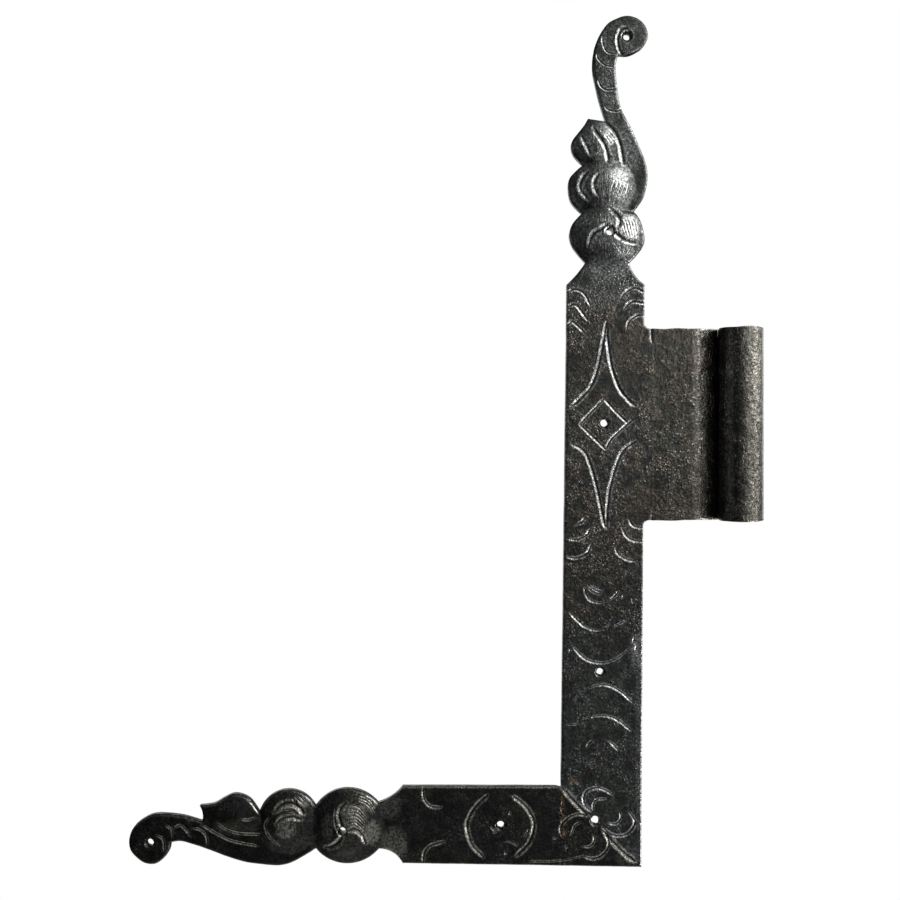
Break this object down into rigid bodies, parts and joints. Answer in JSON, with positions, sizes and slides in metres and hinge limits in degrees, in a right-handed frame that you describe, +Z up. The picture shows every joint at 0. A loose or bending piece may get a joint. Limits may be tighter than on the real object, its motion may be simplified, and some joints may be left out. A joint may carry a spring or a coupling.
{
  "type": "angle strap hinge leaf with rolled eye and pin",
  "caption": "L-shaped flat strap hinge with chiselled face and scroll ends, a rolled eye leaf on the upright bar and a round pin turning in the eye.",
  "frame": {"origin": "on the flat back face, on the upright bar's centre line, 60 mm above the L's lower edge", "axes": "+Z up along the upright bar, +Y out of the back face towards the door, +X towards the rolled eye; the decorated face looks along -Y"},
  "size_m": [0.3285, 0.0224, 0.4407],
  "materials": {
    "upright_steel": "satin",
    "foot_steel": "satin",
    "leaf_steel": "satin",
    "pin_steel": "satin",
    "weld_metal": "matte"
  },
  "bodies": {
    "strap": {"strap_upright": "upright_steel", "strap_foot": "foot_steel", "knuckle_leaf": "leaf_steel", "corner_weld_inner": "weld_metal", "corner_weld_outer": "weld_metal", "knuckle_weld": "weld_metal"},
    "pin": {"hinge_pin": "pin_steel"}
  },
  "joints": [
    {"name": "pin_turn", "type": "hinge", "parent": "strap", "child": "pin", "pos_m": [0.072, -0.002, 0.169], "axis": [0, 0, 1], "continuous": true}
  ]
}
